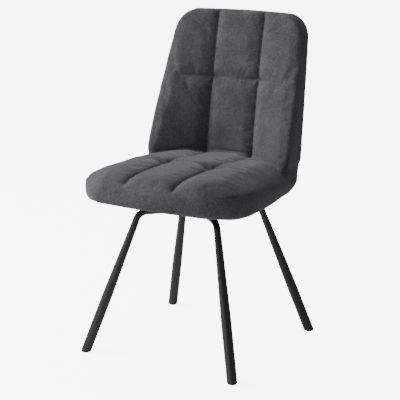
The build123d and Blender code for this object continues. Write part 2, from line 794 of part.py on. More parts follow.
for side in ("left", "right"):
    pieces[f"back_bracket_{side}"] = brackets[side]
    pieces[f"side_cover_{side}"] = side_covers[side]

os.makedirs("parts", exist_ok=True)
for name, piece in pieces.items():
    piece.label = name
    export_step(piece, f"parts/{name}.step")
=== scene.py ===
"""Looks for the upholstered swivel dining chair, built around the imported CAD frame.

The cover's form is a signed field in millimetres. It is meshed, quilted, swollen between its
sewn lines by a cloth simulation, cut along its seams into panels and given its thickness.
"""

import json
import math

import bpy
import numpy as np
import openvdb
from mathutils import Matrix, Vector


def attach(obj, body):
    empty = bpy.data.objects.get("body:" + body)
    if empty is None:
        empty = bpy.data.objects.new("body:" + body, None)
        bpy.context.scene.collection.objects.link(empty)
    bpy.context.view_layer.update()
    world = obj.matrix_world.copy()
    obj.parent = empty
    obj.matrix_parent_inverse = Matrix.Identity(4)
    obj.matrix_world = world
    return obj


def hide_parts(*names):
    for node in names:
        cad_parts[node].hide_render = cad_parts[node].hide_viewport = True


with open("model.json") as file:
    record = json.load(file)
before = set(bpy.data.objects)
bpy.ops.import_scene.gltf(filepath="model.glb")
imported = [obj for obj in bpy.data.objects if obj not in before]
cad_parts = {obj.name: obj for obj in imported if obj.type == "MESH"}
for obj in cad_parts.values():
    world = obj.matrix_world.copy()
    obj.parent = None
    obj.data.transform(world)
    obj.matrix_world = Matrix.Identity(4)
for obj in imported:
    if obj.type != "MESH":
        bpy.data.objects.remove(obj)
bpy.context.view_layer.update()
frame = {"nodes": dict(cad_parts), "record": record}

MM = 0.001

# ---------------------------------------------------------------- camera, light and floor

AZIMUTH = math.radians(30.17)
ELEVATION = math.radians(14.58)
DISTANCE = 3.384
AIM_HEIGHT = 0.450
AIM_DROP = 0.0535
LENS = 115.8
SENSOR = 36.0


def add_camera():
    """The camera stands in front of the chair, to its right, a little above the seat."""
    back = Vector((
        math.sin(AZIMUTH) * math.cos(ELEVATION),
        -math.cos(AZIMUTH) * math.cos(ELEVATION),
        math.sin(ELEVATION),
    ))
    right = Vector((math.cos(AZIMUTH), math.sin(AZIMUTH), 0))
    up = back.cross(right)
    camera = bpy.data.objects.new("camera", bpy.data.cameras.new("camera"))
    camera.data.lens = LENS
    camera.data.sensor_width = SENSOR
    place = Vector((0, 0, AIM_HEIGHT)) + back * DISTANCE - up * AIM_DROP
    turn = Matrix((right, up, back)).transposed().to_4x4()
    camera.matrix_world = Matrix.Translation(place) @ turn
    bpy.context.scene.collection.objects.link(camera)
    bpy.context.scene.camera = camera


def add_world(ambient, backdrop):
    """An even white studio: ambient lights the chair, and backdrop is what lies behind it."""
    world = bpy.data.worlds.new("studio")
    bpy.context.scene.world = world
    world.use_nodes = True
    nodes, links = world.node_tree.nodes, world.node_tree.links
    nodes.clear()
    fill = nodes.new("ShaderNodeBackground")
    fill.inputs["Strength"].default_value = ambient
    white = nodes.new("ShaderNodeBackground")
    white.inputs["Color"].default_value = (1, 1, 1, 1)
    white.inputs["Strength"].default_value = backdrop
    seen = nodes.new("ShaderNodeLightPath")
    pick = nodes.new("ShaderNodeMixShader")
    output = nodes.new("ShaderNodeOutputWorld")
    fill.inputs["Color"].default_value = (1, 1, 1, 1)
    links.new(seen.outputs["Is Camera Ray"], pick.inputs[0])
    links.new(fill.outputs[0], pick.inputs[1])
    links.new(white.outputs[0], pick.inputs[2])
    links.new(pick.outputs[0], output.inputs[0])


def add_softbox(name, place, aim, size, watts):
    light = bpy.data.lights.new(name, "AREA")
    light.shape = "RECTANGLE"
    light.size, light.size_y = size
    light.energy = watts
    lamp = bpy.data.objects.new(name, light)
    lamp.location = place
    lamp.rotation_euler = (Vector(aim) - Vector(place)).to_track_quat("-Z", "Y").to_euler()
    bpy.context.scene.collection.objects.link(lamp)


def add_floor(glow):
    """A plain pale floor that fades into the backdrop."""
    bpy.ops.mesh.primitive_grid_add(
        x_subdivisions=8, y_subdivisions=8, size=60, location=(0, 0, -0.0005)
    )
    floor = bpy.context.object
    floor.name = "floor"
    material = bpy.data.materials.new("pale_floor")
    material.use_nodes = True
    shader = material.node_tree.nodes["Principled BSDF"]
    shader.inputs["Base Color"].default_value = (0.8, 0.8, 0.8, 1)
    shader.inputs["Roughness"].default_value = 0.9
    shader.inputs["Emission Color"].default_value = (1, 1, 1, 1)
    seen = material.node_tree.nodes.new("ShaderNodeLightPath")
    glow_node = material.node_tree.nodes.new("ShaderNodeMath")
    glow_node.operation = "MULTIPLY"
    glow_node.inputs[1].default_value = glow
    material.node_tree.links.new(seen.outputs["Is Camera Ray"], glow_node.inputs[0])
    material.node_tree.links.new(glow_node.outputs[0], shader.inputs["Emission Strength"])
    floor.data.materials.append(material)


add_camera()
add_world(ambient=0.28, backdrop=7.0)
add_softbox("key", (-2.7, -0.95, 2.15), (0, 0, 0.55), (1.5, 1.5), 174)
add_softbox("top", (-0.8, -0.9, 3.0), (0, -0.1, 0.5), (2.0, 2.0), 18)
add_softbox("low_front", (-0.5, -2.3, 0.45), (0, -0.2, 0.35), (1.2, 0.6), 8)
add_floor(glow=7.0)

# ---------------------------------------------------------------- form of the upholstery
# Signed fields of points in millimetres, negative inside. A ramp is (start, length): it is 0 up
# to the start and 1 a length further on, and a negative length makes it climb backwards.

SEAT_HALF = 240.0
SEAT_TAPER = 20.0
SEAT_TAPER_RAMP = (-90.0, 210.0)  # along Y
SEAT_TO_BACK_RAMP = (474.0, 28.0)  # along Z, where the seat's sides pass into the back's
BULGE = 4.0  # how far the sides and front are pulled in above and below their fullest height
BULGE_HEIGHT = 450.0
BULGE_REACH = 30.0
BULGE_LIMIT = 1.2
FRONT = -277.0
FRONT_BOW = 1560.0
PLAN_CORNER = 94.0
UNDERSIDE = 410.5
LIP_RISE = 15.0
LIP_RAMP = (-185.0, -90.0)  # along Y
SIDE_LIP_RISE = 4.0
SIDE_LIP_RAMP = (140.0, 75.0)  # outwards
CROWN = 504.0
EDGE_DROP = 25.0
EDGE_REACH = 36.0
EDGE_POWER = 1.2
SIDE_DROP = 4.0
REAR_SIDE_DROP = 7.0
REAR_SIDE_RAMP = (-180.0, 160.0)  # along Y
SIDE_DROP_HALF = 218.0
JUNCTION_HEIGHT = 488.0
JUNCTION_RAMP = (-60.0, 230.0)  # along Y
SHELL_TURN = 84.0
TOP_EDGE = 12.0
FRONT_EDGE = 26.0
FRONT_EDGE_RAMP = (-190.0, -60.0)  # along Y
FRONT_EDGE_SIDE_RAMP = (215.0, -60.0)  # inwards
LOW_EDGE = 15.0
BACK_EDGE = 20.0
BOLSTER_EDGE = 30.0
BOLSTER_START = 16.0  # half width of the soft bend from the middle panel into a bolster
BACK_CORNER = 66.0
BACK_TOP = 877.0
TOP_BOW = 3.0
TOP_BOW_HALF = 180.0
JUNCTION_FILLET = 5.0
SEAM_X = 70.0
SEAT_SEAM_X = 68.0
BACK_CROSS = 694.0
SEAT_CROSS = -58.0
FABRIC = 2.0

HEIGHTS = np.array([446.0, 514.0, 593.0, 690.0, 790.0, 863.0])


def curve_over_height(values):
    """A smooth curve through values given at HEIGHTS."""
    fit = np.polyfit(HEIGHTS, values, 3)
    return lambda z: np.polyval(fit, np.clip(z, HEIGHTS[0], BACK_TOP))


face_middle = curve_over_height([153, 159, 171, 186, 204, 221])
bolster_slope = curve_over_height([0.65, 0.59, 0.46, 0.31, 0.19, 0.13])
rear_side = curve_over_height([163, 170, 184, 209, 236, 256])
rear_middle = curve_over_height([210, 217, 228, 244, 262, 276])
back_half = curve_over_height([222, 222, 220, 213, 205, 198])


def ramp_up(value, ramp):
    """A smooth climb from 0 to 1 along a (start, length) ramp."""
    t = np.clip((value - ramp[0]) / ramp[1], 0, 1)
    return t * t * (3 - 2 * t)


def bell(t):
    return np.exp(-(t**2))


def both(a, b, radius):
    """Intersection of two fields with a rounded edge."""
    outside = np.hypot(np.maximum(a + radius, 0), np.maximum(b + radius, 0))
    return np.minimum(np.maximum(a, b), -radius) + outside


def either(a, b, radius):
    """Union of two fields with a filleted valley."""
    inside = np.hypot(np.maximum(radius - a, 0), np.maximum(radius - b, 0))
    return np.maximum(np.minimum(a, b), radius) - inside


def soft_ramp(value, width):
    """Zero below 0, then value, with a soft start."""
    return width * np.logaddexp(0, value / width)


def rear_surface(x, z):
    side = rear_side(z)
    return side + (rear_middle(z) - side) * (1 - (x / back_half(z)) ** 2)


def surfaces(p):
    """The faces that bound the cushions, as a dictionary of fields."""
    x, y, z = p[..., 0], p[..., 1], p[..., 2]
    ax = np.abs(x)
    seat_half = SEAT_HALF - SEAT_TAPER * ramp_up(y, SEAT_TAPER_RAMP)
    on_back = ramp_up(z, SEAT_TO_BACK_RAMP)
    from_middle = np.clip((z - BULGE_HEIGHT) / BULGE_REACH, -BULGE_LIMIT, BULGE_LIMIT)
    bulge = BULGE * from_middle**2 * (1 - on_back)
    side = ax - (seat_half + (back_half(z) - seat_half) * on_back - bulge)
    front = FRONT + ax**2 / FRONT_BOW + bulge - y
    plan = both(side, front, PLAN_CORNER)
    lip = LIP_RISE * ramp_up(y, LIP_RAMP) + SIDE_LIP_RISE * ramp_up(ax, SIDE_LIP_RAMP)
    inward = np.maximum(-plan, 0)
    side_drop = SIDE_DROP + REAR_SIDE_DROP * ramp_up(y, REAR_SIDE_RAMP)
    top = z - (
        CROWN
        - EDGE_DROP * np.exp(-((inward / EDGE_REACH) ** EDGE_POWER))
        - side_drop * (ax / SIDE_DROP_HALF) ** 4
        - (CROWN - JUNCTION_HEIGHT) * ramp_up(y, JUNCTION_RAMP)
    )
    face = face_middle(z) - bolster_slope(z) * soft_ramp(ax - SEAM_X, BOLSTER_START) - y
    on_front = ramp_up(y, FRONT_EDGE_RAMP) * ramp_up(ax, FRONT_EDGE_SIDE_RAMP)
    return {
        "side": side,
        "plan": plan,
        "top": top,
        "bottom": UNDERSIDE + lip - z,
        "rear": y - rear_surface(x, z),
        "face": face,
        "crown": z - BACK_TOP + TOP_BOW * (ax / TOP_BOW_HALF) ** 2,
        "edge": TOP_EDGE + (FRONT_EDGE - TOP_EDGE) * on_front,
    }


def seat_field(s):
    shell = both(s["rear"], s["bottom"], SHELL_TURN)
    return both(both(s["plan"], s["top"], s["edge"]), shell, LOW_EDGE)


def back_field(s):
    outline = both(s["side"], s["crown"], BACK_CORNER)
    shell = both(s["rear"], s["bottom"], SHELL_TURN)
    front = both(outline, s["face"], BOLSTER_EDGE)
    return both(front, both(shell, outline, BACK_EDGE), BACK_EDGE)


def cover_field(p):
    s = surfaces(p)
    return either(seat_field(s), back_field(s), JUNCTION_FILLET)


def gradient(field, p, step=0.5):
    """Central differences of a field at points p."""
    out = np.empty_like(p)
    for axis in range(3):
        shift = np.zeros(3)
        shift[axis] = step
        out[:, axis] = (field(p + shift) - field(p - shift)) / (2 * step)
    return out


LOW = (-252.0, -292.0, 398.0)
HIGH = (252.0, 292.0, 890.0)
BAND = 3  # cells on each side of the surface
NEWTON_STEPS = 4
FLATTEST = 0.2  # smallest squared slope used in a Newton step


def surface_mesh(field, cell, low=LOW, high=HIGH):
    """Points and quads of a field's zero surface, with the points moved onto it."""
    axes = [np.arange(a, b + cell, cell) for a, b in zip(low, high)]
    p = np.stack(np.meshgrid(*axes, indexing="ij"), axis=-1)
    grid = openvdb.FloatGrid()
    grid.background = BAND * cell
    grid.copyFromArray(np.clip(field(p), -BAND * cell, BAND * cell).astype(np.float32))
    points, _, quads = grid.convertToPolygons(isovalue=0.0, adaptivity=0.0)
    points = points.astype(float) * cell + np.array(low)
    for _ in range(NEWTON_STEPS):
        slope = gradient(field, points)
        steep = np.maximum((slope**2).sum(1), FLATTEST)
        points -= np.clip(field(points) / steep, -cell, cell)[:, None] * slope
    return points, quads.astype(int)


# ---------------------------------------------------------------- mesh helpers


def new_object(name, points, faces, smooth):
    mesh = bpy.data.meshes.new(name)
    mesh.from_pydata((points * MM).tolist(), [], faces)
    mesh.polygons.foreach_set("use_smooth", smooth)
    mesh.validate()
    mesh.update()
    thing = bpy.data.objects.new(name, mesh)
    bpy.context.scene.collection.objects.link(thing)
    return thing


def evaluated_mesh(thing):
    """Points in millimetres and quads of an object with its modifiers."""
    mesh = thing.evaluated_get(bpy.context.evaluated_depsgraph_get()).to_mesh()
    points = np.empty(3 * len(mesh.vertices))
    mesh.vertices.foreach_get("co", points)
    corners = np.empty(len(mesh.loops), int)
    mesh.loops.foreach_get("vertex_index", corners)
    return points.reshape(-1, 3) / MM, corners.reshape(-1, 4)


def vertex_normals(points, quads):
    a, b, c, d = (points[quads[:, k]] for k in range(4))
    face = np.cross(c - a, d - b)
    total = np.zeros_like(points)
    for k in range(4):
        np.add.at(total, quads[:, k], face)
    return total / np.maximum(np.linalg.norm(total, axis=1), 1e-9)[:, None]


def subdivided(points, quads):
    """One level of Catmull-Clark."""
    thing = new_object("scratch", points, quads.tolist(), [True] * len(quads))
    thing.modifiers.new("finer", "SUBSURF").levels = 1
    result = evaluated_mesh(thing)
    bpy.data.objects.remove(thing)
    return result


# ---------------------------------------------------------------- quilting

FACING_UP_RAMP = (0.30, 0.35)  # of the upright part of a normal
FACING_FRONT_RAMP = (-0.20, -0.35)  # of the Y part of a normal
FRONT_RAMP = (-220.0, -30.0)  # along Y, where the quilting turns over the front edge
FRONT_HEIGHT_RAMP = (474.0, 12.0)
SEAT_FACE_RAMP = (-30.0, 20.0)  # of the distance from the back's face
BACK_FACE_RAMP = (20.0, -10.0)
SEAT_QUILT_LOW = 440.0
BACK_QUILT_LOW = 478.0

SEAM_BOW = 3.0  # the lengthwise seams curve outwards in front
BOW_START = -150.0
BOW_LENGTH = 120.0
SEAT_NEAR = 27.0  # reach of the cross seam's full depth on both sides of a tuft
SEAT_FAINT = 0.06
SEAT_CROSS_END_RAMP = (170.0, -50.0)
SEAT_SHALLOWER = 0.45
SEAT_SHALLOWER_RAMP = (10.0, 60.0)  # behind the cross seam
SEAM_END_RAMP = (-264.0, 14.0)  # along Y, on the front edge
BACK_NEAR = 42.0
BACK_FAINT = 0.24
BACK_CROSS_END_RAMP = (186.0, -50.0)
UPRIGHT_END_RAMP = (868.0, -12.0)

QUILT_LIFT = 4.0
SEAT_SINK = 10.0
SEAT_FLANK = 13.0
SEAT_CROSS_FLANK = 15.0
TUFT_SINK = 8.0
TUFT_HALF = 22.0
TUFT_FAR = 9.0
TUFT_NEAR = 24.0
CREST_SINK = 3.6
CREST_REACH = 32.0
CREST_SIDE_RAMP = (130.0, 60.0)
BACK_SINK = 9.5
BACK_FLANK = 11.0
BACK_CROSS_FLANK = 13.0
KNOT_SINK = 5.5
KNOT_HALF = 20.0
KNOT_HEIGHT = 16.0


def where_on(p, normals):
    """How much each point lies on the seat's top and on the back's face, from 0 to 1."""
    s = surfaces(p)
    front = ramp_up(p[:, 1], FRONT_RAMP) * ramp_up(p[:, 2], FRONT_HEIGHT_RAMP)
    facing = np.maximum(ramp_up(normals[:, 2], FACING_UP_RAMP), front)
    seat = facing * ramp_up(s["face"], SEAT_FACE_RAMP)
    back = ramp_up(normals[:, 1], FACING_FRONT_RAMP) * ramp_up(s["face"], BACK_FACE_RAMP)
    return seat * (p[:, 2] > SEAT_QUILT_LOW), back * (p[:, 2] > BACK_QUILT_LOW)


def seat_seams(p):
    """Distances on the seat to the lengthwise seams and the cross seam, with their depths."""
    x, y = np.abs(p[:, 0]), p[:, 1]
    bow = SEAM_BOW * ((y - BOW_START) / BOW_LENGTH) ** 2
    along = x - SEAT_SEAM_X - bow * (y < BOW_START)
    across = y - SEAT_CROSS
    near = bell((x - SEAT_SEAM_X) / SEAT_NEAR)
    across_depth = (SEAT_FAINT + (1 - SEAT_FAINT) * near) * ramp_up(x, SEAT_CROSS_END_RAMP)
    along_depth = 1 - SEAT_SHALLOWER * ramp_up(across, SEAT_SHALLOWER_RAMP)
    along_depth *= ramp_up(y, SEAM_END_RAMP)
    return along, along_depth, across, across_depth


def back_seams(p):
    """The same for the back: the uprights and the level seam."""
    x, z = np.abs(p[:, 0]), p[:, 2]
    near = bell((x - SEAM_X) / BACK_NEAR)
    level_depth = (BACK_FAINT + (1 - BACK_FAINT) * near) * ramp_up(x, BACK_CROSS_END_RAMP)
    return x - SEAM_X, ramp_up(z, UPRIGHT_END_RAMP), z - BACK_CROSS, level_depth


def valley(distance, width):
    """1 on a seam, falling off to 0 on both sides of a sharp bottom."""
    return np.exp(-np.abs(distance) / width)


def beside_crest(p):
    """1 along the seam between the seat's top and its sides, falling off inwards."""
    inward = np.maximum(-surfaces(p)["plan"], 0)
    return bell(inward / CREST_REACH) * ramp_up(np.abs(p[:, 0]), CREST_SIDE_RAMP)


def puffed(p, normals):
    """The broad rise and fall of the quilted panels."""
    seat, back = where_on(p, normals)
    along, reach, across, depth = seat_seams(p)
    hollow = np.maximum(valley(along, SEAT_FLANK) * reach, valley(across, SEAT_CROSS_FLANK) * depth)
    seat_lift = QUILT_LIFT - SEAT_SINK * hollow - CREST_SINK * beside_crest(p)
    tuft = bell(along / TUFT_HALF) * bell(across / np.where(across > 0, TUFT_FAR, TUFT_NEAR))
    upright, reach, level, depth = back_seams(p)
    hollow = np.maximum(valley(upright, BACK_FLANK) * reach, valley(level, BACK_CROSS_FLANK) * depth)
    back_lift = QUILT_LIFT - BACK_SINK * hollow
    knot = bell(upright / KNOT_HALF) * bell(level / KNOT_HEIGHT)
    return seat * (seat_lift - TUFT_SINK * tuft) + back * (back_lift - KNOT_SINK * knot)


def puckers(place, wander, beat, pitch):
    """Small gathers along a seam, from -1 to 1, with a spacing that wanders."""
    return np.sin((place + wander * np.sin(place / beat)) / pitch)


SEAT_PUCKER = 0.45
SEAT_PUCKER_REACH = 9.0
SEAT_CREASE = 2.6
SEAT_CREASE_HALF = 2.6
SEAT_CROSS_CREASE_HALF = 2.8
TUFT_CREASE = 0.7
TUFT_CREASE_LENGTH = 15.0
TUFT_CREASE_BEHIND = 6.0
TUFT_CREASE_HALF = 3.5
BACK_PUCKER = 0.4
BACK_PUCKER_REACH = 8.0
BACK_CREASE = 2.8
BACK_CREASE_HALF = 2.4
BACK_CROSS_CREASE_HALF = 3.0
CREST_GROOVE = 0.4
CREST_SIDE_GROOVE = 1.4
CREST_GROOVE_HALF = 3.0
CREST_HEIGHT_RAMP = (455.0, 6.0)
CREST_FACE_RAMP = (0.0, 4.0)
CREST_GROOVE_SIDE_RAMP = (170.0, 40.0)


def creased(p, normals):
    """The narrow bottoms of the sewn lines, their puckers and the piped edges."""
    seat, back = where_on(p, normals)
    s = surfaces(p)
    along, reach, across, depth = seat_seams(p)
    gathers = puckers(p[:, 1], wander=5, beat=23, pitch=3.1)
    gathers = gathers * valley(along, SEAT_PUCKER_REACH) * reach
    cross_line = bell(across / SEAT_CROSS_CREASE_HALF) * depth
    line = np.maximum(bell(along / SEAT_CREASE_HALF) * reach, cross_line)
    behind = (across - TUFT_CREASE_BEHIND) / TUFT_CREASE_HALF
    line = line + TUFT_CREASE * bell(along / TUFT_CREASE_LENGTH) * bell(behind)
    folds = seat * (SEAT_PUCKER * gathers - SEAT_CREASE * line)
    upright, reach, level, depth = back_seams(p)
    gathers = puckers(p[:, 2], wander=6, beat=27, pitch=3.3)
    gathers = gathers * valley(upright, BACK_PUCKER_REACH) * reach
    cross_line = bell(level / BACK_CROSS_CREASE_HALF) * depth
    line = np.maximum(bell(upright / BACK_CREASE_HALF) * reach, cross_line)
    folds += back * (BACK_PUCKER * gathers - BACK_CREASE * line)
    on_crest = ramp_up(p[:, 2], CREST_HEIGHT_RAMP) * ramp_up(s["face"], CREST_FACE_RAMP)
    at_side = ramp_up(np.abs(p[:, 0]), CREST_GROOVE_SIDE_RAMP)
    groove = CREST_GROOVE + CREST_SIDE_GROOVE * at_side
    folds -= groove * bell((s["plan"] - s["top"]) / CREST_GROOVE_HALF) * on_crest
    return folds


# ---------------------------------------------------------------- seams between the panels

SIDE_SEAM = 206.0
SIDE_SEAM_TOP = 180.0
SHOULDER = 590.0  # the side seams lean inwards above this height
SEAM_LEAN_HEIGHT = 285.0
FACE_MARGIN = 5.0
REAR_SEAM_DEPTH = 26.0
REAR_PANEL_START = 62.0
BOARD_HALF = 188.0
BOARD_Y = (-200.0, 84.0)
BOARD_CORNER = 75.0
HEM = 8.0
HEM_RISE = 4.0  # the cover above the board's edge is still part of the underside
SETTLING_ROUNDS = 4
MOST_SIDES = 3  # of a face's four
SNAP_STEPS = 3
SNAP_REACH = 2.5
SNAP_FLATTEST = 0.05


def side_line(p):
    """Positive outside the seams that join the side panels to the rest."""
    x, z = np.abs(p[:, 0]), p[:, 2]
    s = surfaces(p)
    lean = np.clip((z - SHOULDER) / SEAM_LEAN_HEIGHT, 0, 1)
    on_back = x - SIDE_SEAM + (SIDE_SEAM - SIDE_SEAM_TOP) * lean
    on_seat = np.minimum(s["plan"] - s["top"], x - SIDE_SEAM)
    return np.where(s["face"] < FACE_MARGIN, on_back, on_seat)


def rear_line(p):
    """Positive on the rear panel, which starts under the seat and ends at the top edge."""
    high = p[:, 1] - rear_surface(p[:, 0], p[:, 2]) + REAR_SEAM_DEPTH
    return np.where(p[:, 2] < HEIGHTS[0], p[:, 1] - REAR_PANEL_START, high)


def join_line(p):
    """Positive on the back, negative on the seat."""
    s = surfaces(p)
    return seat_field(s) - back_field(s)


def board_line(p, pull_in=HEM):
    """Negative inside the seat board's outline, in plan."""
    middle = sum(BOARD_Y) / 2
    half_length = (BOARD_Y[1] - BOARD_Y[0]) / 2
    dx = np.abs(p[:, 0]) - (BOARD_HALF - BOARD_CORNER)
    dy = np.abs(p[:, 1] - middle) - (half_length - BOARD_CORNER)
    outside = np.hypot(np.maximum(dx, 0), np.maximum(dy, 0))
    return outside + np.minimum(np.maximum(dx, dy), 0) - (BOARD_CORNER - pull_in)


PANELS = ["seat_cover", "back_cover", "rear_cover", "side_cover_left", "side_cover_right"]
SEAT, BACK, REAR, LEFT, RIGHT, OPENING = range(len(PANELS) + 1)


def panel_of(p):
    """The panel that each point belongs to, as an index, or OPENING."""
    ids = np.where(join_line(p) > 0, BACK, SEAT)
    ids = np.where(rear_line(p) > 0, REAR, ids)
    ids = np.where(side_line(p) > 0, np.where(p[:, 0] < 0, LEFT, RIGHT), ids)
    return np.where((board_line(p) < 0) & (p[:, 2] < UNDERSIDE + HEM_RISE), OPENING, ids)


def neighbours(quads):
    """Pairs of faces that share an edge."""
    edges = np.sort(np.stack([quads, np.roll(quads, -1, 1)], -1).reshape(-1, 2), 1)
    order = np.lexsort((edges[:, 1], edges[:, 0]))
    same = (edges[order][1:] == edges[order][:-1]).all(1)
    faces = order // 4
    return faces[:-1][same], faces[1:][same]


def settled(ids, quads):
    """Takes single faces that stick out over a seam into the panel round them."""
    a, b = neighbours(quads)
    for _ in range(SETTLING_ROUNDS):
        votes = np.zeros((len(ids), OPENING + 1))
        np.add.at(votes, (a, ids[b]), 1)
        np.add.at(votes, (b, ids[a]), 1)
        ids = np.where(votes.max(1) >= MOST_SIDES, votes.argmax(1), ids)
    return ids


def snapped(points, normals, quads, ids):
    """Slides the corners between two panels along the surface onto their seam."""
    touch = np.zeros((len(points), OPENING + 1), bool)
    for k in range(4):
        touch[quads[:, k], ids] = True
    side = touch[:, LEFT] | touch[:, RIGHT]
    between = {
        side_line: side & touch[:, [SEAT, BACK, REAR]].any(1),
        board_line: touch[:, OPENING] & touch[:, :OPENING].any(1),
        rear_line: touch[:, REAR] & touch[:, [SEAT, BACK]].any(1) & ~side,
        join_line: touch[:, SEAT] & touch[:, BACK],
    }
    for line, chosen in between.items():
        for _ in range(SNAP_STEPS):
            p, n = points[chosen], normals[chosen]
            slope = gradient(line, p)
            slope -= (slope * n).sum(1)[:, None] * n
            steep = np.maximum((slope**2).sum(1), SNAP_FLATTEST)
            move = np.clip(line(p) / steep, -SNAP_REACH, SNAP_REACH)
            points[chosen] = p - move[:, None] * slope
    return points


def shell(name, points, normals, quads, thickness):
    """A closed skin: the quads, a copy of them further in, and a rim.

    It is shaded with the normals given, so that no edge shows where two panels meet.
    """
    used, flat = np.unique(quads, return_inverse=True)
    outer_faces = flat.reshape(-1, 4)
    count = len(used)
    outer = points[used]
    inner = outer - normals[used] * thickness
    edges = np.stack([outer_faces, np.roll(outer_faces, -1, 1)], -1).reshape(-1, 2)
    keys = edges[:, 0] * count + edges[:, 1]
    twins = edges[:, 1] * count + edges[:, 0]
    rim = edges[~np.isin(keys, twins)]
    rim_faces = np.stack([rim[:, 1], rim[:, 0], rim[:, 0] + count, rim[:, 1] + count], 1)
    faces = np.concatenate([outer_faces, outer_faces[:, ::-1] + count, rim_faces])
    smooth = [True] * (2 * len(outer_faces)) + [False] * len(rim_faces)
    skin = new_object(name, np.concatenate([outer, inner]), faces.tolist(), smooth)
    facing = np.concatenate([normals[used], -normals[used]])
    skin.data.normals_split_custom_set_from_vertices(facing.tolist())
    return skin


# ---------------------------------------------------------------- cloth simulation

FRAMES = 20
PRESSURE = 2.0
LOOSENESS = -0.012
MOST_SWELL = 3.5
PIN_LEVELS = 20
PIN_ALONG = 7.0
PIN_ACROSS = 6.0
PIN_CREST = 7.0
PIN_ELSEWHERE = 0.35
PIN_DEPTH = 0.1  # a fainter sewn line than this isn't held
PIN_UNDER = 14.0


def swollen(points, quads, hold):
    """The cover after air pressure has filled it. hold is 1 where the cover can't move."""
    thing = new_object("swelling", points, quads.tolist(), [True] * len(quads))
    sewn = thing.vertex_groups.new(name="sewn")
    levels = np.round(hold * PIN_LEVELS).astype(int)
    for level in range(1, PIN_LEVELS + 1):
        sewn.add(np.nonzero(levels == level)[0].tolist(), level / PIN_LEVELS, "REPLACE")
    cloth = thing.modifiers.new("cloth", "CLOTH").settings
    cloth.quality = 5
    cloth.mass = 0.3
    cloth.tension_stiffness = 12
    cloth.compression_stiffness = 12
    cloth.bending_stiffness = 0.3
    cloth.vertex_group_mass = "sewn"
    cloth.shrink_min = LOOSENESS
    cloth.use_pressure = True
    cloth.uniform_pressure_force = PRESSURE
    cloth.effector_weights.gravity = 0
    for step in range(1, FRAMES + 1):
        bpy.context.scene.frame_set(step)
    result, _ = evaluated_mesh(thing)
    bpy.data.objects.remove(thing)
    bpy.context.scene.frame_set(1)
    moved = result - points
    far = np.linalg.norm(moved, axis=1)
    return points + moved * np.minimum(1, MOST_SWELL / np.maximum(far, 1e-9))[:, None]


def held(p, normals):
    """Where the cover can't swell: along the sewn lines and away from the quilted faces."""
    seat, back = where_on(p, normals)
    along, reach, across, depth = seat_seams(p)
    on_seat = np.maximum(bell(along / PIN_ALONG) * reach, bell(across / PIN_ACROSS) * depth)
    on_seat = np.maximum(on_seat, beside_crest(p))
    upright, reach, level, depth = back_seams(p)
    level_pin = bell(level / PIN_ACROSS) * (depth > PIN_DEPTH)
    on_back = np.maximum(bell(upright / PIN_ALONG) * reach, level_pin)
    s = surfaces(p)
    crest = bell((s["plan"] - s["top"]) / PIN_CREST) * (s["face"] > 0)
    elsewhere = PIN_ELSEWHERE * (1 - np.maximum(seat, back))
    under = 1.0 * (p[:, 2] < UNDERSIDE + PIN_UNDER)
    pins = [seat * on_seat, back * on_back, crest * seat, elsewhere, under]
    return np.clip(np.maximum.reduce(pins), 0, 1)


# ---------------------------------------------------------------- make the cover

COARSE = 6.0


def cover_mesh():
    points, quads = surface_mesh(cover_field, COARSE)
    normals = vertex_normals(points, quads)
    hold = held(points, normals)
    points = points + normals * puffed(points, normals)[:, None]
    points = swollen(points, quads, hold)
    points, quads = subdivided(points, quads)
    normals = vertex_normals(points, quads)
    points = points + normals * creased(points, normals)[:, None]
    return points, vertex_normals(points, quads), quads


cover_points, cover_normals, cover_quads = cover_mesh()
panel_ids = settled(panel_of(cover_points[cover_quads].mean(1)), cover_quads)
cover_points = snapped(cover_points, cover_normals, cover_quads, panel_ids)
cover_normals = vertex_normals(cover_points, cover_quads)
covers = {
    name: shell(name, cover_points, cover_normals, cover_quads[panel_ids == index], FABRIC)
    for index, name in enumerate(PANELS)
}

# ---------------------------------------------------------------- foam under the cover

FOAM_CELL = 8.0
FOAM_GAP = 12.0
FOAM_JOINT = 14.0  # how far the seat foam reaches in front of the back foam
BOARD_TOP = 424.5
BOLT_ROOM = 4.0
BACK_FOAM_DEPTH = 24.0
BACK_FOAM_LOW = 440.0
PAD_CELL = 4.0
PAD_MIDDLE = 6.5
PAD_HALF = 3.5
PAD_GAP = 2.5
PAD_LOW = 470.0


def board_slab(p):
    """Negative where the seat board and the bolts on it lie."""
    in_plan = board_line(p.reshape(-1, 3), -BOLT_ROOM).reshape(p.shape[:-1])
    return np.maximum(in_plan, p[..., 2] - BOARD_TOP - BOLT_ROOM)


def seat_foam_field(p):
    s = surfaces(p)
    inside = np.maximum(seat_field(s) + FOAM_GAP, -back_field(s) - FOAM_GAP + FOAM_JOINT)
    return np.maximum(inside, -board_slab(p))


def back_foam_field(p):
    s = surfaces(p)
    before = p[..., 1] - rear_surface(p[..., 0], p[..., 2]) + BACK_FOAM_DEPTH
    return np.maximum.reduce([back_field(s) + FOAM_GAP, before, BACK_FOAM_LOW - p[..., 2]])


def rear_pad_field(p):
    s = surfaces(p)
    depth = rear_surface(p[..., 0], p[..., 2]) - p[..., 1]
    layer = np.abs(depth - PAD_MIDDLE) - PAD_HALF
    return np.maximum.reduce([layer, back_field(s) + PAD_GAP, PAD_LOW - p[..., 2]])


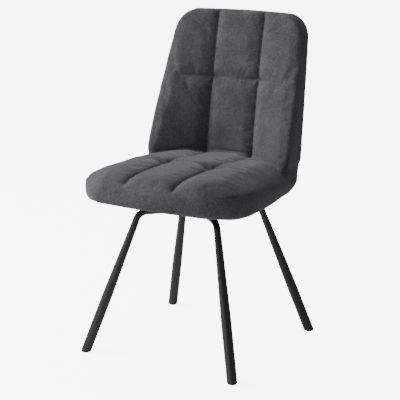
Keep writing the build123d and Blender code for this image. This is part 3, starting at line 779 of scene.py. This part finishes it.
foams = {}
for name, field, cell, quilted in (
    ("seat_foam", seat_foam_field, FOAM_CELL, True),
    ("back_foam", back_foam_field, FOAM_CELL, True),
    ("rear_pad", rear_pad_field, PAD_CELL, False),
):
    foam_points, foam_quads = surface_mesh(field, cell)
    if quilted:
        foam_normals = vertex_normals(foam_points, foam_quads)
        foam_points += foam_normals * np.minimum(puffed(foam_points, foam_normals), 0)[:, None]
    foams[name] = new_object(
        f"{name}_soft", foam_points, foam_quads.tolist(), [True] * len(foam_quads)
    )

# ---------------------------------------------------------------- dust cover under the seat

DUST_EDGE = 1.0
DUST_FACE = 409.5
DUST_THICKNESS = 1.0
DUST_SAG = 2.4
DUST_SAG_RAMP = (8.0, 60.0)  # inwards from the board's edge
DUST_UNEVEN = 0.2
DUST_WAVES = 5
DUST_PUCKER = 0.5
DUST_PUCKER_RAMP = (6.0, 8.0)
DUST_PUCKER_MIDDLE = 16.0
DUST_PUCKER_REACH = 14.0
CUTOUT_HALF = 79.0
SPOKES = 360
RINGS = 24
STAPLES = 39
FARTHEST = 300.0  # past the board's corners
HALVINGS = 30


def dust_cover():
    """Cloth stapled round the board, in rings from the swivel's cut-out to the board's edge."""
    angle = np.arange(SPOKES) / SPOKES * 2 * math.pi
    spoke = np.stack([np.cos(angle), np.sin(angle), np.zeros(SPOKES)], 1)
    start = CUTOUT_HALF / np.abs(spoke).max(1)
    end, beyond = start, np.full(SPOKES, FARTHEST)
    for _ in range(HALVINGS):
        middle = (end + beyond) / 2
        outside = board_line(spoke * middle[:, None], DUST_EDGE) > 0
        end, beyond = np.where(outside, end, middle), np.where(outside, middle, beyond)
    edge = spoke * end[:, None]
    step = np.linalg.norm(np.roll(edge, -1, 0) - edge, axis=1)
    turn = 2 * math.pi * np.cumsum(step) / step.sum()
    reach = start + (end - start) * np.linspace(0, 1, RINGS + 1)[:, None]
    points = (spoke * reach[..., None]).reshape(-1, 3)
    depth = -board_line(points, DUST_EDGE)
    around = np.tile(turn, RINGS + 1)
    wave = np.cos(STAPLES * around) * bell((depth - DUST_PUCKER_MIDDLE) / DUST_PUCKER_REACH)
    uneven = 1 - DUST_UNEVEN + DUST_UNEVEN * np.sin(DUST_WAVES * around)
    droop = uneven * ramp_up(depth, DUST_SAG_RAMP)
    pucker = DUST_PUCKER * (1 + wave) * ramp_up(depth, DUST_PUCKER_RAMP)
    points[:, 2] = DUST_FACE - DUST_SAG * droop - pucker
    place = np.arange((RINGS + 1) * SPOKES).reshape(RINGS + 1, SPOKES)
    beside = np.roll(place, -1, 1)
    quads = np.stack([place[:-1], beside[:-1], beside[1:], place[1:]], -1).reshape(-1, 4)
    normals = vertex_normals(points, quads)
    return shell("dust_cover_cloth", points, normals, quads, DUST_THICKNESS)


dust_cloth = dust_cover()

# ---------------------------------------------------------------- materials


def new_material(name):
    material = bpy.data.materials.new(name)
    material.use_nodes = True
    tree = material.node_tree
    return material, tree, tree.nodes["Principled BSDF"]


def texture(tree, kind, scale, **settings):
    """A 3-D texture in object space."""
    coords = tree.nodes.new("ShaderNodeTexCoord")
    node = tree.nodes.new(kind)
    tree.links.new(coords.outputs["Object"], node.inputs["Vector"])
    node.inputs["Scale"].default_value = scale
    for key, value in settings.items():
        node.inputs[key].default_value = value
    return node


def ramp(tree, source, *stops):
    """A colour ramp: stops are (place, grey) or (place, (r, g, b))."""
    node = tree.nodes.new("ShaderNodeValToRGB")
    tree.links.new(source, node.inputs["Fac"])
    elements = node.color_ramp.elements
    while len(elements) < len(stops):
        elements.new(0.5)
    for element, (place, colour) in zip(elements, stops):
        element.position = place
        element.color = (*colour, 1) if isinstance(colour, tuple) else (colour, colour, colour, 1)
    return node.outputs[0]


def times(tree, a, b):
    """Two colours multiplied."""
    node = tree.nodes.new("ShaderNodeMix")
    node.data_type = "RGBA"
    node.blend_type = "MULTIPLY"
    node.inputs[0].default_value = 1.0
    tree.links.new(a, node.inputs[6])
    tree.links.new(b, node.inputs[7])
    return node.outputs[2]


def relief(tree, shader, height, strength, distance):
    bump = tree.nodes.new("ShaderNodeBump")
    bump.inputs["Strength"].default_value = strength
    bump.inputs["Distance"].default_value = distance
    tree.links.new(height, bump.inputs["Height"])
    tree.links.new(bump.outputs[0], shader.inputs["Normal"])


def upholstery():
    """Mottled dark grey chenille: clouds, flecks and tufts, a fine pile and a soft sheen."""
    material, tree, shader = new_material("upholstery_fabric")
    cloud = texture(tree, "ShaderNodeTexNoise", 18, Detail=3.0)
    fleck = texture(tree, "ShaderNodeTexNoise", 210, Detail=4.0, Roughness=0.7)
    yarn = texture(tree, "ShaderNodeTexVoronoi", 620)
    dark, light = (0.062, 0.060, 0.065), (0.090, 0.087, 0.093)
    base = ramp(tree, cloud.outputs["Fac"], (0.3, dark), (0.7, light))
    speck = ramp(tree, fleck.outputs["Fac"], (0.3, 0.66), (0.7, 1.3))
    tuft = ramp(tree, yarn.outputs["Distance"], (0.0, 1.15), (0.7, 0.8))
    colour = times(tree, times(tree, base, speck), tuft)
    tree.links.new(colour, shader.inputs["Base Color"])
    rough = ramp(tree, fleck.outputs["Fac"], (0.3, 0.98), (0.7, 0.84))
    tree.links.new(rough, shader.inputs["Roughness"])
    shader.inputs["Specular IOR Level"].default_value = 0.2
    shader.inputs["Sheen Weight"].default_value = 0.25
    shader.inputs["Sheen Roughness"].default_value = 0.4
    shader.inputs["Sheen Tint"].default_value = (0.8, 0.8, 0.85, 1)
    relief(tree, shader, yarn.outputs["Distance"], 0.5, 0.0008)
    return material


def powder_coat():
    """Matt black powder coat with a fine orange-peel texture."""
    material, tree, shader = new_material("powder_coat")
    grain = texture(tree, "ShaderNodeTexNoise", 900, Detail=2.0)
    wear = texture(tree, "ShaderNodeTexNoise", 30, Detail=4.0)
    dark, light = (0.008, 0.008, 0.009), (0.013, 0.013, 0.014)
    tone = ramp(tree, grain.outputs["Fac"], (0.35, dark), (0.65, light))
    tree.links.new(tone, shader.inputs["Base Color"])
    rough = ramp(tree, wear.outputs["Fac"], (0.3, 0.36), (0.7, 0.5))
    tree.links.new(rough, shader.inputs["Roughness"])
    relief(tree, shader, grain.outputs["Fac"], 0.25, 0.0003)
    return material


def bare_metal(name, colour, roughness):
    """Plated or polished steel with faint rolling marks and stains."""
    material, tree, shader = new_material(name)
    stain = texture(tree, "ShaderNodeTexNoise", 160, Detail=5.0, Roughness=0.6)
    dark = tuple(0.8 * c for c in colour)
    tone = ramp(tree, stain.outputs["Fac"], (0.3, dark), (0.7, colour))
    tree.links.new(tone, shader.inputs["Base Color"])
    rough = ramp(tree, stain.outputs["Fac"], (0.3, roughness + 0.12), (0.7, roughness))
    tree.links.new(rough, shader.inputs["Roughness"])
    shader.inputs["Metallic"].default_value = 1.0
    relief(tree, shader, stain.outputs["Fac"], 0.1, 0.0002)
    return material


def moulded(name, colour, roughness, scale):
    """Moulded plastic or coated sheet with a fine grain."""
    material, tree, shader = new_material(name)
    grain = texture(tree, "ShaderNodeTexNoise", scale, Detail=3.0)
    dark = tuple(0.7 * c for c in colour)
    tone = ramp(tree, grain.outputs["Fac"], (0.3, dark), (0.7, colour))
    tree.links.new(tone, shader.inputs["Base Color"])
    rough = ramp(tree, grain.outputs["Fac"], (0.3, roughness + 0.08), (0.7, roughness - 0.05))
    tree.links.new(rough, shader.inputs["Roughness"])
    relief(tree, shader, grain.outputs["Fac"], 0.3, 0.0003)
    return material


def birch():
    """Raw birch plywood: streaked grain with darker veneer lines."""
    material, tree, shader = new_material("plywood")
    grain = texture(tree, "ShaderNodeTexWave", 14, Distortion=6.0, Detail=3.0)
    fine = texture(tree, "ShaderNodeTexNoise", 300, Detail=4.0)
    wood = ramp(tree, grain.outputs["Fac"], (0.2, (0.50, 0.34, 0.20)), (0.8, (0.66, 0.49, 0.31)))
    colour = times(tree, wood, ramp(tree, fine.outputs["Fac"], (0.3, 0.85), (0.7, 1.05)))
    tree.links.new(colour, shader.inputs["Base Color"])
    tree.links.new(ramp(tree, fine.outputs["Fac"], (0.3, 0.75), (0.7, 0.6)), shader.inputs["Roughness"])
    relief(tree, shader, fine.outputs["Fac"], 0.2, 0.0004)
    return material


def cut_foam():
    """Open-cell foam, cream, with fine pores, its colour darkened with painted shade in each pore."""
    material, tree, shader = new_material("foam")
    pores = texture(tree, "ShaderNodeTexVoronoi", 500)
    # painted shade: the cream turns darker in each pore, where the bump sinks into a pit
    tone = ramp(tree, pores.outputs["Distance"], (0.0, (0.5, 0.47, 0.36)), (0.5, (0.78, 0.75, 0.62)))
    tree.links.new(tone, shader.inputs["Base Color"])
    tree.links.new(ramp(tree, pores.outputs["Distance"], (0.0, 1.0), (0.5, 0.9)), shader.inputs["Roughness"])
    relief(tree, shader, pores.outputs["Distance"], 0.6, 0.001)
    return material


def spun_cloth():
    """Black spun-bonded dust cloth with its embossed dots."""
    material, tree, shader = new_material("dust_cloth")
    dots = texture(tree, "ShaderNodeTexVoronoi", 420, Randomness=0.1)
    fibre = texture(tree, "ShaderNodeTexNoise", 500, Detail=5.0)
    tone = ramp(tree, dots.outputs["Distance"], (0.1, 0.006), (0.4, 0.018))
    colour = times(tree, tone, ramp(tree, fibre.outputs["Fac"], (0.3, 0.8), (0.7, 1.2)))
    tree.links.new(colour, shader.inputs["Base Color"])
    tree.links.new(ramp(tree, fibre.outputs["Fac"], (0.3, 0.95), (0.7, 0.8)), shader.inputs["Roughness"])
    relief(tree, shader, dots.outputs["Distance"], 0.4, 0.0005)
    return material


finishes = {
    "upholstery_fabric": upholstery(),
    "powder_coat": powder_coat(),
    "black_steel": moulded("black_steel", (0.016, 0.016, 0.018), 0.38, 700),
    "zinc_steel": bare_metal("zinc_steel", (0.58, 0.59, 0.62), 0.3),
    "bearing_steel": bare_metal("bearing_steel", (0.66, 0.66, 0.68), 0.12),
    "nylon": moulded("nylon", (0.02, 0.02, 0.021), 0.5, 1100),
    "plywood": birch(),
    "foam": cut_foam(),
    "dust_cloth": spun_cloth(),
}


def give_finish(thing, slot):
    thing.data.materials.clear()
    thing.data.materials.append(finishes[slot])


for subpart in frame["record"]["subparts"]:
    give_finish(frame["nodes"][subpart["node"]], subpart["material_slot"])

for name, cover in covers.items():
    give_finish(cover, "upholstery_fabric")
    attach(cover, "seat")
    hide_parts(name)
for name, foam in foams.items():
    give_finish(foam, "foam")
    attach(foam, "seat")
    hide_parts(name)
give_finish(dust_cloth, "dust_cloth")
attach(dust_cloth, "seat")
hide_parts("dust_cover")
